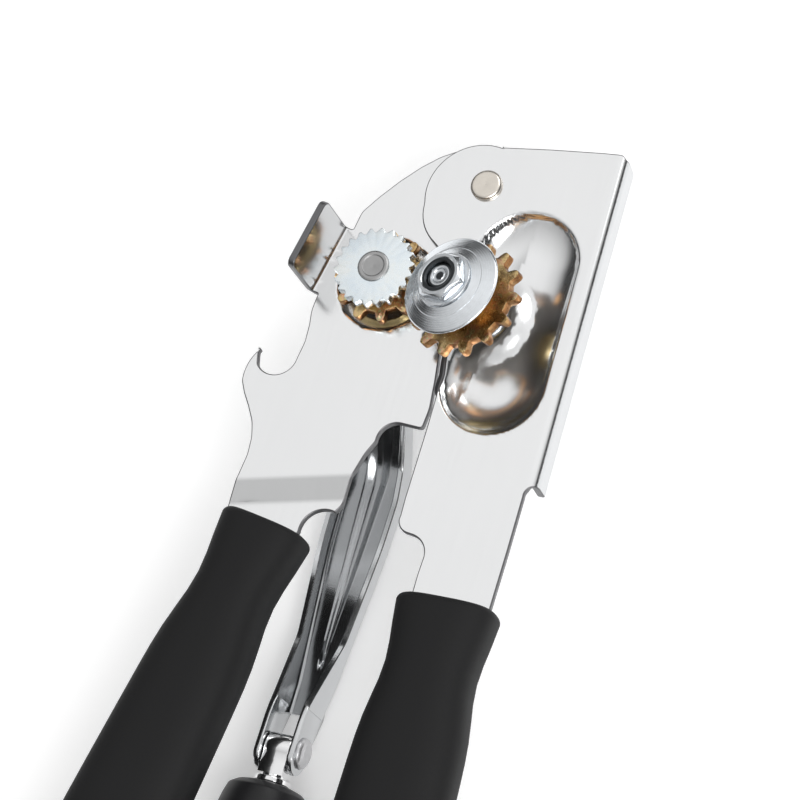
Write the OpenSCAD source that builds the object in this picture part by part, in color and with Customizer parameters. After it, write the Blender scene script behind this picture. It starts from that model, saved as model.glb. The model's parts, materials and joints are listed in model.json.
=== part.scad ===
// Manual can opener with a folding crank, millimetres, real size.
// +Z is the cutter side and up, +Y runs from the handles to the head, +X to the cutter lever.
// It lies on its crank. The origin is the centre of its extent in X and Y, at its lowest point.

/* [Sheet] */
// Thickness of the pressed steel plates
sheet = 1.6; // [1.4:0.1:1.8]
// Gap between the two plates at the pivot
plate_gap = 0.1; // [0.1:0.05:0.2]
// Depth of the step in the bottle opener lever
step_depth = 2.4; // [1.8:0.2:2.8]
// Height of the bent tab above the plate
tab_height = 13; // [10:0.5:14]
// Depth of the bent flange behind the cutter lever
flange_depth = 5; // [4:0.5:6]
// Diameter of the pivot rivet's shank
pivot_d = 5; // [4:0.2:5.6]

/* [Drive] */
// Diameter of the drive shaft
shaft_d = 6; // [5:0.2:6.4]
// Diameter of the feed wheel over its teeth
feed_d = 18; // [16:0.2:18]
// Number of teeth on the feed wheel
feed_teeth = 22; // [18:1:26]
// Height of the feed wheel's front face above the plate
feed_z = 8.8; // [8.6:0.1:9.2]
// Thickness of the feed wheel
feed_t = 2.4; // [2:0.1:2.6]
// Gear module, tooth pitch over pi
gear_module = 1.76; // [1.7:0.02:1.8]
// Thickness of both gears
gear_t = 2.2; // [1.8:0.1:2.4]

/* [Cutter] */
// Lean of the cutter's stud towards the feed wheel, in degrees
cutter_lean = 16; // [14:1:17]
// Diameter of the cutter wheel
cutter_d = 22.4; // [20:0.2:22.8]
// Diameter of the cutter's stud
stud_d = 6; // [5:0.2:6.4]

/* [Crank] */
// Turn of the crank arm at rest, in degrees
crank_turn = 1.2; // [0:0.1:1.8]
// Distance from the drive shaft to the crank's fold rivet
crank_len = 100; // [96:1:106]
// Depth of the arm's back face behind the plate
crank_back = 29.5; // [28:0.5:31]
// Depth of the fold rivet behind the plate
rivet_depth = 21.1; // [21.1:0.1:21.8]
// Diameter of the crank grip
knob_d = 19.8; // [18:0.2:20]

/* [Grips] */
// Length of the left grip
left_grip_len = 117; // [105:1:120]
// Length of the right grip
right_grip_len = 108; // [100:1:112]
// Thickness of the grips, front to back
grip_t = 15; // [13:0.5:15]

/* [Hidden] */
$fn = 48;
fit = 0.05;
z_left = 0;
z_right = plate_gap + sheet;
pivot = [16.2, 25.4];
drive_teeth = 11;
cutter_teeth = 14;
drive_r = gear_module * drive_teeth / 2;
cutter_r = gear_module * cutter_teeth / 2;
addendum = 0.82;
dedendum = 1.5;
gear_front = 3.6;
mesh_z = gear_front - gear_t / 2;
mesh_gap = 0.28;
line_turn = -7.2;
gear_x = drive_r + cutter_r * cos(cutter_lean) + mesh_gap;
gear_z = mesh_z + cutter_r * sin(cutter_lean);
seat_z = -1.7;
seat_drop = (gear_z - seat_z) / cos(cutter_lean);
gear_back = seat_drop - gear_t / 2;
hub_len = 4.6;
cutter_back = gear_back + gear_t + hub_len;
head_u = cutter_back + 3.4;
left_lean = 9;
right_lean = 2;
base_x = 6.698;
base_y = -69.422;
base_z = rivet_depth + knob_d / 2;

// which node to build

// Moves a part from the drive shaft's frame, plate front face at zero, to the stored frame.
module place() { translate([-base_x, -base_y, base_z]) children(); }

// Frame on the stud's axis, its seat at zero, leaning towards the drive shaft.
module on_stud() {
  rotate([0, 0, line_turn])
    translate([gear_x + seat_drop * sin(cutter_lean), 0, seat_z])
      rotate([0, -cutter_lean, 0]) children();
}

// Solid ring about Z.
module ring(r1, r2, z1, z2) {
  translate([0, 0, z1]) difference() {
    cylinder(r = r2, h = z2 - z1);
    translate([0, 0, -1]) cylinder(r = r1, h = z2 - z1 + 2);
  }
}

// Prism drawn in the YZ plane and run along X.
module side_prism(pts, x1, x2) {
  translate([x1, 0, 0]) rotate([90, 0, 90]) linear_extrude(height = x2 - x1) polygon(pts);
}

// Points of an arc.
function arc(c, r, a1, a2, n) =
  [for (i = [0:n]) let (a = a1 + (a2 - a1) * i / n) [c[0] + r * cos(a), c[1] + r * sin(a)]];

// Outline of the bottle opener lever, head at the top, with the cap hook on its left.
module left_outline() {
  polygon(concat(
    arc([14.6, 26.2], 8.7, -22, 95, 10),
    [[6.5, 33.2], [3, 31.2], [-0.7, 28], [-4.4, 24], [-8, 19.4], [-10.8, 15.2]],
    [[-11.3, 11.6], [-14.55, -6.1], [-14.7, -8.6], [-14.1, -12.6], [-13.8, -16.8], [-14.3, -20.4]],
    arc([-19, -20.6], 4.7, -12, -140, 8),
    [[-23.3, -21], [-23.4, -19.6]],
    arc([-15.2, -26], 10, 148, 192, 6),
    [[-23.6, -30.6], [-21.6, -33.4], [-19.6, -36.6], [-18.5, -40], [-18.1, -44], [-18.6, -49],
     [-19.4, -54], [-19.9, -57.7], [-2.2, -60.5]],
    arc([3.2, -56.8], 5.2, 188, 75, 8),
    [[5.6, -50.2], [6.4, -45], [8, -38.6]],
    arc([13.6, -34.6], 4.2, 190, 95, 6),
    [[18.6, -30.6], [18.9, -26], [18.1, -19.6], [17, -13], [14.2, -8], [13.4, 0], [14, 8], [15.4, 13],
     [17.6, 17.8]]
  ));
}

module bottle_opener_plate() {
  color([0.82, 0.83, 0.84]) place() {
    difference() {
      intersection() {
        translate([0, 0, -10]) linear_extrude(height = 12) union() {
          left_outline();
          translate([-9.6, -59.4]) rotate(-left_lean)
            translate([-6.6, 16 - left_grip_len]) square([13.2, left_grip_len - 14]);
        }
        rotate([0, 0, 14]) side_prism([[60, 0], [-43.6, 0], [-49, -step_depth], [-190, -step_depth],
          [-190, -step_depth - sheet], [-49.4, -step_depth - sheet], [-44, -sheet], [60, -sheet]],
          -60, 60);
      }
      translate([0, 0, -5]) cylinder(r = 11.3, h = 8);
      translate([pivot[0], pivot[1], -5]) cylinder(d = pivot_d, h = 8);
    }
    // drawn cup around the drive shaft
    rotate_extrude() polygon([[4.05, -2.6], [7.7, -2.6], [10.9, 0], [11.5, 0], [11.5, -sheet],
      [10.8, -sheet], [8.4, -4.2], [4.05, -4.2]]);
    // bent tab
    rotate([0, 0, -10.4]) intersection() {
      translate([-16.4, 8.6, 0]) rotate([90, 0, 0]) linear_extrude(height = 16.4) polygon(concat(
        [[4.2, -sheet], [2.4, -sheet]], arc([2.2, 0.6], 2.2, 266, 180, 7),
        [[0, tab_height], [sheet, tab_height]], arc([2.2, 0.6], 0.6, 180, 264, 3), [[2.4, 0], [4.2, 0]]));
      side_prism([[-7.8, -3], [8.6, -3], [8.6, tab_height - 1.8], [7.6, tab_height - 0.01],
        [-6.8, tab_height - 0.01], [-7.8, tab_height - 1.4]], -18, -12);
    }
  }
}

// Tapered rubber grip along -Y with its open end at zero: w1 and w2 are the end widths.
module grip(len, w1, w2, t, slot_w, slot_t) {
  r = t / 2;
  difference() {
    hull() {
      for (s = [-1, 1]) {
        translate([s * (w1 / 2 - r * 0.86), 0, 0]) rotate([90, 0, 0]) cylinder(r = r * 0.86, h = 0.8, $fn = 28);
        translate([s * (w1 / 2 - r), -1.6, 0]) rotate([90, 0, 0]) cylinder(r = r, h = 1, $fn = 28);
        translate([s * (w2 / 2 - r), -len * 0.62, 0]) rotate([90, 0, 0]) cylinder(r = r, h = 1, $fn = 28);
        translate([s * (w2 / 2 - r - 1), -len + r, 0]) sphere(r = r, $fn = 28);
      }
    }
    translate([-slot_w / 2, -len + 16, -slot_t / 2]) cube([slot_w, len, slot_t]);
  }
}

module left_grip() {
  color([0.06, 0.06, 0.065]) place()
    translate([-9.6, -59.4, -step_depth - sheet / 2]) rotate([0, 0, -left_lean])
      grip(left_grip_len, 21, 26.5, grip_t, 13.2, sheet + 0.02);
}

// Outline of the cutter lever, head at the top, without the bent flange.
module right_outline() {
  polygon(concat(
    [[49, 36.4], [44.9, 37], [43.9, 37.8], [39.5, 37.5], [28.2, 36.4], [16.8, 35]],
    arc([14.6, 23.2], 11.9, 78, 198, 16),
    arc([13.8, 19.4], 10.4, 184, 232, 5),
    [[9.6, 9.6], [12, 8], [16.4, 4.4], [17.6, 0], [17.8, -8], [19, -13], [19.7, -18.1], [20.1, -30.7],
     [20.3, -46.7], [20.5, -50.4]],
    arc([23.4, -50.9], 3, 188, 262, 4),
    arc([24, -58.2], 4.2, 84, -4, 6),
    [[28.1, -62], [28.3, -68.3], [45.6, -67.7], [45.5, -53]],
    arc([47.4, -40.6], 2.2, 192, 92, 6),
    [[49, -38.4]]
  ));
}

// Long rounded shape between two centres, a above b.
module oblong(a, b, ra, rb) {
  polygon(concat(arc(a, ra, 2, 178, 18), arc(b, rb, 182, 358, 18)));
}

// Rim of the drawn pocket, grown by d.
module pocket_rim(d) { oblong([30, 9.6], [31, -18], 12.3 + d, 12.1 + d); }

// Hollow of the pocket: a sloping seat that meets the stud squarely, opening out to the rim.
module pocket_hollow(d, up) {
  hull() {
    translate([0, 0, z_right + up]) linear_extrude(height = 0.4) pocket_rim(d);
    translate([0, 0, z_right - 0.9 - d * 0.5]) linear_extrude(height = 0.1) pocket_rim(d - 0.9);
    on_stud() translate([0, 0, -d]) rotate([0, 0, -line_turn]) linear_extrude(height = 0.1)
      translate([-gear_x - 2, 0]) oblong([27.4, 9], [28.2, -17.4], 8.2, 8);
  }
}

// Open left side of the pocket, just inside the lever's own edge.
module offset_outline() {
  polygon([[17.62, 30], [17.62, -7], [19.3, -14], [20.2, -32], [43, -34], [42.3, 30]]);
}

module cutter_plate() {
  color([0.82, 0.83, 0.84]) place() {
    difference() {
      union() {
        // plate and the flange bent back along its outer edge
        intersection() {
          translate([0, 0, -8]) linear_extrude(height = 12) union() {
            right_outline();
            translate([36.8, -68.6]) rotate(right_lean)
              translate([-6.6, 16 - right_grip_len]) square([13.2, right_grip_len - 14]);
          }
          translate([43.1, 36.2, 0]) rotate([0, 0, 1.7]) translate([0, 20, 0]) rotate([90, 0, 0])
            linear_extrude(height = 240) polygon(concat([[-60, z_right]],
              arc([0, z_right - 2.2], 2.2, 90, 0, 8),
              [[2.2, -flange_depth], [2.2 - sheet, -flange_depth]],
              arc([0, z_right - 2.2], 2.2 - sheet, 0, 90, 4), [[-60, z_right - sheet]]));
        }
        intersection() {
          pocket_hollow(sheet, -0.7);
          translate([0, 0, -12]) linear_extrude(height = 12.5) offset_outline();
        }
      }
      pocket_hollow(0, 0.2);
      translate([pivot[0], pivot[1], -1]) cylinder(r = pivot_d / 2 + fit, h = 4);
      on_stud() translate([0, 0, -5]) cylinder(d = stud_d, h = 8);
      // flat seats for the stud's collar and head
      on_stud() cylinder(r = 5.2, h = 4.5);
      on_stud() translate([0, 0, -sheet - 4]) cylinder(r = 4.7, h = 4);
    }
  }
}

module right_grip() {
  color([0.06, 0.06, 0.065]) place()
    translate([36.8, -68.6, z_right - sheet / 2]) rotate([0, 0, right_lean])
      grip(right_grip_len, 22.5, 26, grip_t, 13.2, sheet + 0.02);
}

// Domed head about Z: flat side at zero, radius r, height h.
module dome(r, h) {
  rotate_extrude() polygon(concat([[0, 0], [r, 0], [r, h * 0.35]],
    [for (i = [1:6]) let (a = i * 15) [r * cos(a * 0.97) * 0.995, h * (0.35 + 0.65 * sin(a))]],
    [[0, h]]));
}

module pivot_rivet() {
  color([0.78, 0.74, 0.68]) place() translate([pivot[0], pivot[1], 0]) {
    translate([0, 0, -sheet - 0.9]) cylinder(d = pivot_d, h = sheet + 0.9 + z_right + 0.1);
    translate([0, 0, z_right + 0.05]) dome(3.5, 1.1);
    translate([0, 0, -sheet - 0.8]) rotate([180, 0, 0]) dome(3.9, 1);
  }
}

module pivot_washer() {
  color([0.7, 0.7, 0.7]) place() translate([pivot[0], pivot[1], 0])
    ring(pivot_d / 2, 5, -sheet - 0.8, -sheet);
}

module shaft_bushing() {
  color([0.72, 0.6, 0.35]) place() {
    ring(shaft_d / 2 + fit, 4.05, -4.2, -1.9);
    ring(shaft_d / 2 + fit, 5.2, -2.6, -1.2);
  }
}

// Gear blank with slim teeth, bottom at zero, a tooth or a gap on +X.
module gear(teeth, pitch_r, phase, t) {
  root = pitch_r - dedendum;
  tip = pitch_r + addendum;
  linear_extrude(height = t) polygon([for (i = [0:teeth - 1]) let (a = (i + phase) * 360 / teeth,
    h = 360 / teeth)
    for (p = [[root, -0.3], [pitch_r - 0.4, -0.2], [pitch_r + 0.3, -0.15], [tip, -0.075],
      [tip, 0.075], [pitch_r + 0.3, 0.15], [pitch_r - 0.4, 0.2], [root, 0.3]])
      [p[0] * cos(a + p[1] * h), p[0] * sin(a + p[1] * h)]]);
}

module cutter_stud() {
  color([0.75, 0.76, 0.78]) place() on_stud() {
    translate([0, 0, -sheet - 1.2]) cylinder(d = stud_d, h = sheet + 1.2 + head_u + 2.4);
    translate([0, 0, -sheet - 0.2]) rotate([180, 0, 0]) dome(4.4, 1.4);
    cylinder(r = 5, h = 1.6);
  }
}

module stud_spacer() {
  color([0.72, 0.6, 0.35]) place() on_stud() ring(stud_d / 2, 4.4, 1.6, gear_back - 0.1);
}

module cutter_gear() {
  color([0.79, 0.62, 0.3]) place() on_stud() difference() {
    union() {
      translate([0, 0, gear_back]) gear(cutter_teeth, cutter_r, 0.5, gear_t);
      cylinder_at(4.8, gear_back + gear_t - 0.1, cutter_back);
    }
    translate([0, 0, -1]) cylinder(r = stud_d / 2 + fit, h = 40);
  }
}

// Cylinder about Z between two heights.
module cylinder_at(r, z1, z2) {
  translate([0, 0, z1]) cylinder(r = r, h = z2 - z1);
}

module cutter_wheel() {
  r = cutter_d / 2;
  color([0.72, 0.74, 0.77]) place() on_stud() translate([0, 0, cutter_back])
    rotate_extrude() polygon([[stud_d / 2 + fit, 0], [r - 0.7, 0], [r, 0.8], [r, 1.2],
      [6.5, 3.3], [stud_d / 2 + fit, 3.3]]);
}

module cutter_washer() {
  color([0.75, 0.77, 0.8]) place() on_stud()
    ring(stud_d / 2, 6.2, head_u, head_u + 0.6);
}

module cutter_nut() {
  color([0.72, 0.74, 0.77]) place() on_stud() translate([0, 0, head_u + 0.6]) difference() {
    intersection() {
      cylinder(d = 11.4, h = 2.4, $fn = 6);
      rotate_extrude() polygon([[0, 0], [5.7, 0], [5.7, 1.7], [4.9, 2.4], [0, 2.4]]);
    }
    translate([0, 0, -1]) cylinder(d = stud_d, h = 4);
  }
}

module drive_shaft() {
  color([0.6, 0.61, 0.62]) place() {
    cylinder_at(shaft_d / 2, -8.2, feed_z + 0.4);
    cylinder_at(3.5, feed_z, feed_z + 0.5);
  }
}

module feed_wheel() {
  r = feed_d / 2;
  color([0.8, 0.86, 0.9]) place() translate([0, 0, feed_z - feed_t]) difference() {
    linear_extrude(height = feed_t) polygon([for (i = [0:feed_teeth - 1])
      let (h = 360 / feed_teeth, a = i * h)
      for (p = [[r - 0.8, -0.5], [r, -0.28], [r, -0.06], [r - 0.8, 0.3]])
        [p[0] * cos(a + p[1] * h), p[0] * sin(a + p[1] * h)]]);
    translate([0, 0, -1]) cylinder(d = shaft_d, h = feed_t + 2);
  }
}

module feed_spacer() {
  color([0.75, 0.77, 0.8]) place() ring(shaft_d / 2, 4.6, gear_front, feed_z - feed_t);
}

module drive_gear() {
  color([0.79, 0.62, 0.3]) place() difference() {
    union() {
      rotate([0, 0, line_turn]) translate([0, 0, gear_front - gear_t])
        gear(drive_teeth, drive_r, 0, gear_t);
      cylinder_at(4.6, -1, gear_front - gear_t + 0.1);
    }
    translate([0, 0, -3]) cylinder(d = shaft_d, h = 12);
  }
}

module thrust_washer() {
  color([0.75, 0.77, 0.8]) place() ring(shaft_d / 2, 6.5, -5.4, -4.5);
}

// Plan outline of the crank arm, inset by d.
module arm_plan(d) {
  polygon([[-7.9 + d, 1], [-7.9 + d, -36], [-7.6 + d, -52], [-4.5 + d, -crank_len + 6],
    [-4.5 + d, -crank_len - 12], [4.5 - d, -crank_len - 12], [4.5 - d, -crank_len + 6],
    [7.6 - d, -52], [7.9 - d, -36], [7.9 - d, 1]]);
}

module crank_arm() {
  wall = 1.3;
  web = 1.6;
  b = -crank_back;
  color([0.84, 0.85, 0.86]) place() rotate([0, 0, crank_turn]) difference() {
    union() {
      // web
      intersection() {
        translate([0, 0, -40]) linear_extrude(height = 40) union() {
          arm_plan(0);
          circle(r = 8.8);
        }
        side_prism([[10, -5.4], [-8, -5.4], [-10.6, -6.7], [-32.8, b + 3.15], [-36.6, b + web],
          [9 - crank_len, b + web], [9 - crank_len, b], [-36, b], [-31.9, b + 1.8],
          [-10.2, -8.45], [-7.4, -7], [10, -7]], -10, 10);
      }
      // side walls
      intersection() {
        translate([0, 0, -40]) linear_extrude(height = 40) difference() {
          arm_plan(0);
          arm_plan(wall);
          translate([-4.5 + wall, -crank_len - 20]) square([9 - 2 * wall, 24]);
        }
        side_prism([[-10.4, -6.4], [-14, -6.6], [-34.5, b + 7.8], [-41, b + 5.5],
          [26 - crank_len, b + 5.5], [8 - crank_len, 3.9 - rivet_depth],
          [-3 - crank_len, 4.4 - rivet_depth], [-5.5 - crank_len, 2 - rivet_depth],
          [-5.2 - crank_len, -2 - rivet_depth],
          [-3 - crank_len, -4.4 - rivet_depth], [4 - crank_len, -4.8 - rivet_depth],
          [9 - crank_len, b], [-36, b], [-31.9, b + 1.8],
          [-10.4, -8.6]], -10, 10);
      }
    }
    translate([0, 0, -12]) cylinder(d = shaft_d, h = 12);
    translate([-20, -crank_len, -rivet_depth]) rotate([0, 90, 0]) cylinder(d = 3.2, h = 40);
  }
}

module crank_hub_rivet() {
  color([0.7, 0.7, 0.7]) place() difference() {
    translate([0, 0, -7]) rotate([180, 0, 0]) dome(4.6, 1.6);
    translate([0, 0, -8.2]) cylinder(d = shaft_d, h = 6);
  }
}

module crank_rivet() {
  color([0.72, 0.72, 0.73]) place() rotate([0, 0, crank_turn])
    translate([0, -crank_len, -rivet_depth]) rotate([0, 90, 0]) {
      translate([0, 0, -5.2]) cylinder(d = 3.2, h = 10.4);
      translate([0, 0, 4.5]) dome(3.4, 1.7);
      translate([0, 0, -4.5]) rotate([180, 0, 0]) dome(3, 1.2);
    }
}

// Frame on the fold rivet: the stem runs along -Y at rest.
module on_stem() {
  rotate([0, 0, crank_turn]) translate([0, -crank_len, -rivet_depth]) children();
}

module crank_stem() {
  color([0.86, 0.87, 0.88]) place() on_stem() difference() {
    union() {
      translate([0, -4, 0]) rotate([90, 0, 0]) cylinder(d = 5.8, h = 62);
      translate([0, 0, 0]) rotate([0, 90, 0]) translate([0, 0, -2.9]) cylinder(d = 6.6, h = 5.8);
      translate([-2.9, -5, -2.9]) cube([5.8, 5, 5.8]);
      translate([0, -6.6, 0]) rotate([90, 0, 0]) cylinder(d = 8, h = 1.2);
    }
    rotate([0, 90, 0]) translate([0, 0, -10]) cylinder(d = 3.3, h = 20);
  }
}

module crank_grip() {
  r = knob_d / 2;
  color([0.05, 0.05, 0.055]) place() on_stem() rotate([90, 0, 0]) rotate_extrude()
    polygon(concat([[2.95, 8], [5, 8], [7.2, 8.6], [8.8, 9.8], [r - 0.5, 12], [r, 15]],
      [[r - 0.3, 30], [r - 1, 45], [r, 60]], arc([r - 5, 64], 5, 0, 90, 6),
      [[4.5, 69], [4.5, 64.5], [2.95, 64.5]]));
}

module grip_cap() {
  color([0.7, 0.7, 0.7]) place() on_stem() rotate([90, 0, 0]) difference() {
    cylinder_at(4.1, 64.7, 67.2);
    cylinder_at(2.9, 64, 66);
  }
}

bottle_opener_plate();
left_grip();
pivot_rivet();
pivot_washer();
shaft_bushing();
cutter_plate();
right_grip();
cutter_stud();
stud_spacer();
cutter_gear();
cutter_wheel();
cutter_washer();
cutter_nut();
drive_shaft();
feed_wheel();
feed_spacer();
drive_gear();
thrust_washer();
crank_arm();
crank_hub_rivet();
crank_rivet();
crank_stem();
crank_grip();
grip_cap();
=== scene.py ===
import json
import math

import bmesh
import bpy
import numpy as np
from mathutils import Matrix, Vector
from mathutils.geometry import delaunay_2d_cdt


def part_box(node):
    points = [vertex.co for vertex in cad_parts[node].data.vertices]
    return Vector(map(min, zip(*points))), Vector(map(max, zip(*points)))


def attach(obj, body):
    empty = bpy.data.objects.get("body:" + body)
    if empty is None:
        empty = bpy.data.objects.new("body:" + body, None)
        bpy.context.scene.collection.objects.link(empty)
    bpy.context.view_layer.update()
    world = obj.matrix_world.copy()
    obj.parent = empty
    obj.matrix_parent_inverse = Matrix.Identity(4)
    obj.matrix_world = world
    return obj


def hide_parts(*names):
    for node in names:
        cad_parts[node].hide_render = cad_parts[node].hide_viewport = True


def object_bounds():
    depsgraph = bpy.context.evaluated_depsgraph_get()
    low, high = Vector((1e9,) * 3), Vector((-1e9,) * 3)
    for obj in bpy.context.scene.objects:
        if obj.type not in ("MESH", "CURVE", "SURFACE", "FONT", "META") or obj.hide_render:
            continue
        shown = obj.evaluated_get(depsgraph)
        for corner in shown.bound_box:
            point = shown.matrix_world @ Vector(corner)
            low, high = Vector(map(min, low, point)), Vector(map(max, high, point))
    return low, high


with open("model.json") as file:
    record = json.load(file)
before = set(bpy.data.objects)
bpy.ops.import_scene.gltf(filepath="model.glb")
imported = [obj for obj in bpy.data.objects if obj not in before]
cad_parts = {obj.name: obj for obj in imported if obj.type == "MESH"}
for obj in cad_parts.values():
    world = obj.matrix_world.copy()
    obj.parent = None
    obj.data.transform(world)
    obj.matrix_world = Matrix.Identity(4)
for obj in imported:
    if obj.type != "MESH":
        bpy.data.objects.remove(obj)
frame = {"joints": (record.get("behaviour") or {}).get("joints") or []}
cad_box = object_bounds()

MM = 0.001
SHEET = 1.6                  # thickness of both levers' sheet, mm
STEP_DEPTH = 2.4             # joggle of the opener lever towards its handle
FRONT_RIGHT = 1.7            # front face of the cutter lever above the opener lever's
LEAN = 16.0                  # tilt of the cutter's axis, degrees
LINE_TURN = -7.2             # turn of the line between the two gears
CRANK_TURN = 1.2
CRANK_BACK = -29.5           # back of the crank's channel
RIVET_DEPTH = 21.1
EDGE = 0.3                   # rounding of sheared sheet edges
OUTLINE_STEP = 0.7           # longest side along a sheet's outline
TAB_TURN = -10.4             # turn of the opener lever's tab, degrees
TAB_BEND = -14.2             # where the tab's bend starts
TAB_RADIUS = 0.6
TAB_SPAN = (-8.5, 9.3)
JOGGLE_TURN = 14             # turn of the joggle's bend line, degrees
JOGGLE_START = -43.3
JOGGLE_RUN = 6.0
CUP_RADIUS = 11.3            # cup pressed around the shaft
CUP_WALL = 3.9
CUP_DEPTH = 2.6
STUD_ALONG = 23.98           # from the shaft's axis to the stud's, along the line between the gears
POCKET_HEAD = (30, 9.6, 12.3)     # x, y and radius of the pocket's two ends
POCKET_TAIL = (31, -18, 12.1)
FLANGE_TURN = 1.7            # turn of the cutter lever's flange, degrees
FLANGE_CORNER = (43.1, 36.2)      # where the flange's bend starts, at the head
FLANGE_RADIUS = 2.2
FLANGE_SIDE, FLANGE_TOP = 44, 0.9      # a face further right and lower than this is on the flange and gets the flange's painted shade
RUBBER_LIP = 1.7             # rounding at a grip's mouth
SHAFT_BORE = 3.02            # radius inside the rings on the shaft and the stud


# ---------------------------------------------------------------- places

def joint_frame(name):
    """Position, in metres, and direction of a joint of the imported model."""
    found = [j for j in frame["joints"] if j["name"] == name][0]
    return Vector(found["pos_m"]), Vector(found["axis"]).normalized()


def axes(origin, x, y, z):
    """Matrix whose columns are three directions and a place, in metres."""
    m = Matrix((x, y, z)).transposed().to_4x4()
    m.translation = origin
    return m


shaft_low, shaft_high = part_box("drive_shaft")
gear_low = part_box("drive_gear")[0]
DRIVE = Matrix.Translation(Vector(((shaft_low.x + shaft_high.x) / 2,
                                   (shaft_low.y + shaft_high.y) / 2, gear_low.z + 1 * MM)))
cutter_point, cutter_axis = joint_frame("cutter_spin")
SEAT_DROP = 7.902            # from the stud's seat to the middle of the cutter's gear
GEAR_BACK = SEAT_DROP - 1.1
CUTTER_BACK = GEAR_BACK + 2.2 + 4.6
HEAD_U = CUTTER_BACK + 3.4
stud_x = (Vector((math.cos(math.radians(LINE_TURN)), math.sin(math.radians(LINE_TURN)), 0)))
stud_x = (stud_x - cutter_axis * stud_x.dot(cutter_axis)).normalized()
STUD = axes(cutter_point - cutter_axis * SEAT_DROP * MM, stud_x, cutter_axis.cross(stud_x), cutter_axis)
hinge_point = joint_frame("lever_hinge")[0]
PIVOT = Matrix.Translation(Vector((hinge_point.x, hinge_point.y, DRIVE.translation.z)))
rivet_point, rivet_axis = joint_frame("crank_fold")
stem_axis = joint_frame("grip_spin")[1]
UP = Vector((0, 0, 1))
CRANK = DRIVE @ Matrix.Rotation(math.radians(CRANK_TURN), 4, "Z")
RIVET = axes(rivet_point, UP, rivet_axis.cross(UP), rivet_axis)
STEM = axes(rivet_point, UP, stem_axis.cross(UP), stem_axis)


# ---------------------------------------------------------------- outlines

def arc(centre, radius, start, end, steps):
    """Points of an arc, angles in degrees."""
    return [(centre[0] + radius * math.cos(math.radians(start + (end - start) * i / steps)),
             centre[1] + radius * math.sin(math.radians(start + (end - start) * i / steps)))
            for i in range(steps + 1)]


def turned(points, degrees, about=(0, 0)):
    """Points turned about the origin, then moved."""
    c, s = math.cos(math.radians(degrees)), math.sin(math.radians(degrees))
    return [(about[0] + c * x - s * y, about[1] + s * x + c * y) for x, y in points]


def softened(points, reach, steps=4):
    """Every corner of an outline is replaced by a small curve that starts reach away from it."""
    out = []
    n = len(points)
    for i, p in enumerate(points):
        a, b = Vector(points[i - 1]), Vector(points[(i + 1) % n])
        p = Vector(p)
        la, lb = (a - p).length, (b - p).length
        r = min(reach, la * 0.45, lb * 0.45)
        turn = (p - a).angle(b - p, 0) if la > 1e-6 and lb > 1e-6 else 0
        if turn < math.radians(9) or r < 0.02:
            out.append(tuple(p))
            continue
        start, end = p + (a - p) / la * r, p + (b - p) / lb * r
        for k in range(steps + 1):
            t = k / steps
            out.append(tuple(start * (1 - t) ** 2 + p * 2 * t * (1 - t) + end * t ** 2))
    return out


def area(points):
    """Area inside an outline, negative if it runs clockwise."""
    return 0.5 * sum(points[i - 1][0] * p[1] - p[0] * points[i - 1][1] for i, p in enumerate(points))


def ccw(points):
    """The outline, made to run counter-clockwise."""
    return list(points) if area(points) > 0 else list(reversed(points))


def outward(points):
    """Outward direction at each point of a counter-clockwise outline, stretched so that offsets stay even."""
    result = []
    n = len(points)
    for i, p in enumerate(points):
        a = Vector(p) - Vector(points[i - 1])
        b = Vector(points[(i + 1) % n]) - Vector(p)
        na = Vector((a.y, -a.x)).normalized()
        nb = Vector((b.y, -b.x)).normalized()
        m = na + nb
        m = m.normalized() if m.length > 1e-6 else na
        result.append(m / max(m.dot(na), 0.5))
    return result


def opener_outline():
    """Opener lever laid flat: head at the top, cap hook on the left, tab unfolded."""
    tab = turned([(-13.2, 9.4), (-13.2, 8.6), (-27.0, 8.6), (-28.14, 7.6), (-28.14, -6.8), (-27.1, -7.8),
                  (-13.2, -7.8), (-13.2, -8.6)], TAB_TURN)
    body = (arc((14.6, 26.2), 8.7, -22, 95, 16)
            + [(6.5, 33.2), (3, 31.2), (-0.7, 28), (-4.4, 24), (-8, 19.4), (-10.8, 15.2)])
    hook = ([(-14.7, -9.4), (-14.1, -12.6), (-13.8, -16.8), (-14.3, -20.4)]
            + arc((-19, -20.6), 4.7, -12, -140, 16) + [(-23.3, -21), (-23.4, -19.6)]
            + arc((-15.2, -26), 10, 148, 192, 10)
            + [(-23.6, -30.6), (-21.6, -33.4), (-19.6, -36.6), (-18.5, -40), (-18.1, -44),
               (-18.6, -49), (-19.4, -54), (-19.9, -57.7)])
    shank = turned([(-6.5, -2), (-6.5, -30), (6.5, -30), (6.5, -3)], -9, (-9.6, -59.4))
    throat = (arc((3.2, -56.8), 5.2, 188, 75, 14) + [(5.6, -50.2), (6.4, -45), (8, -38.6)]
              + arc((13.6, -34.6), 4.2, 190, 95, 10)
              + [(18.6, -30.6), (18.9, -26), (18.1, -19.6), (17, -13), (14.2, -8), (13.4, 0), (14, 8),
                 (15.4, 13), (17.6, 17.8)])
    return ccw(softened(body + tab + hook + shank + throat, 0.9))


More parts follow.
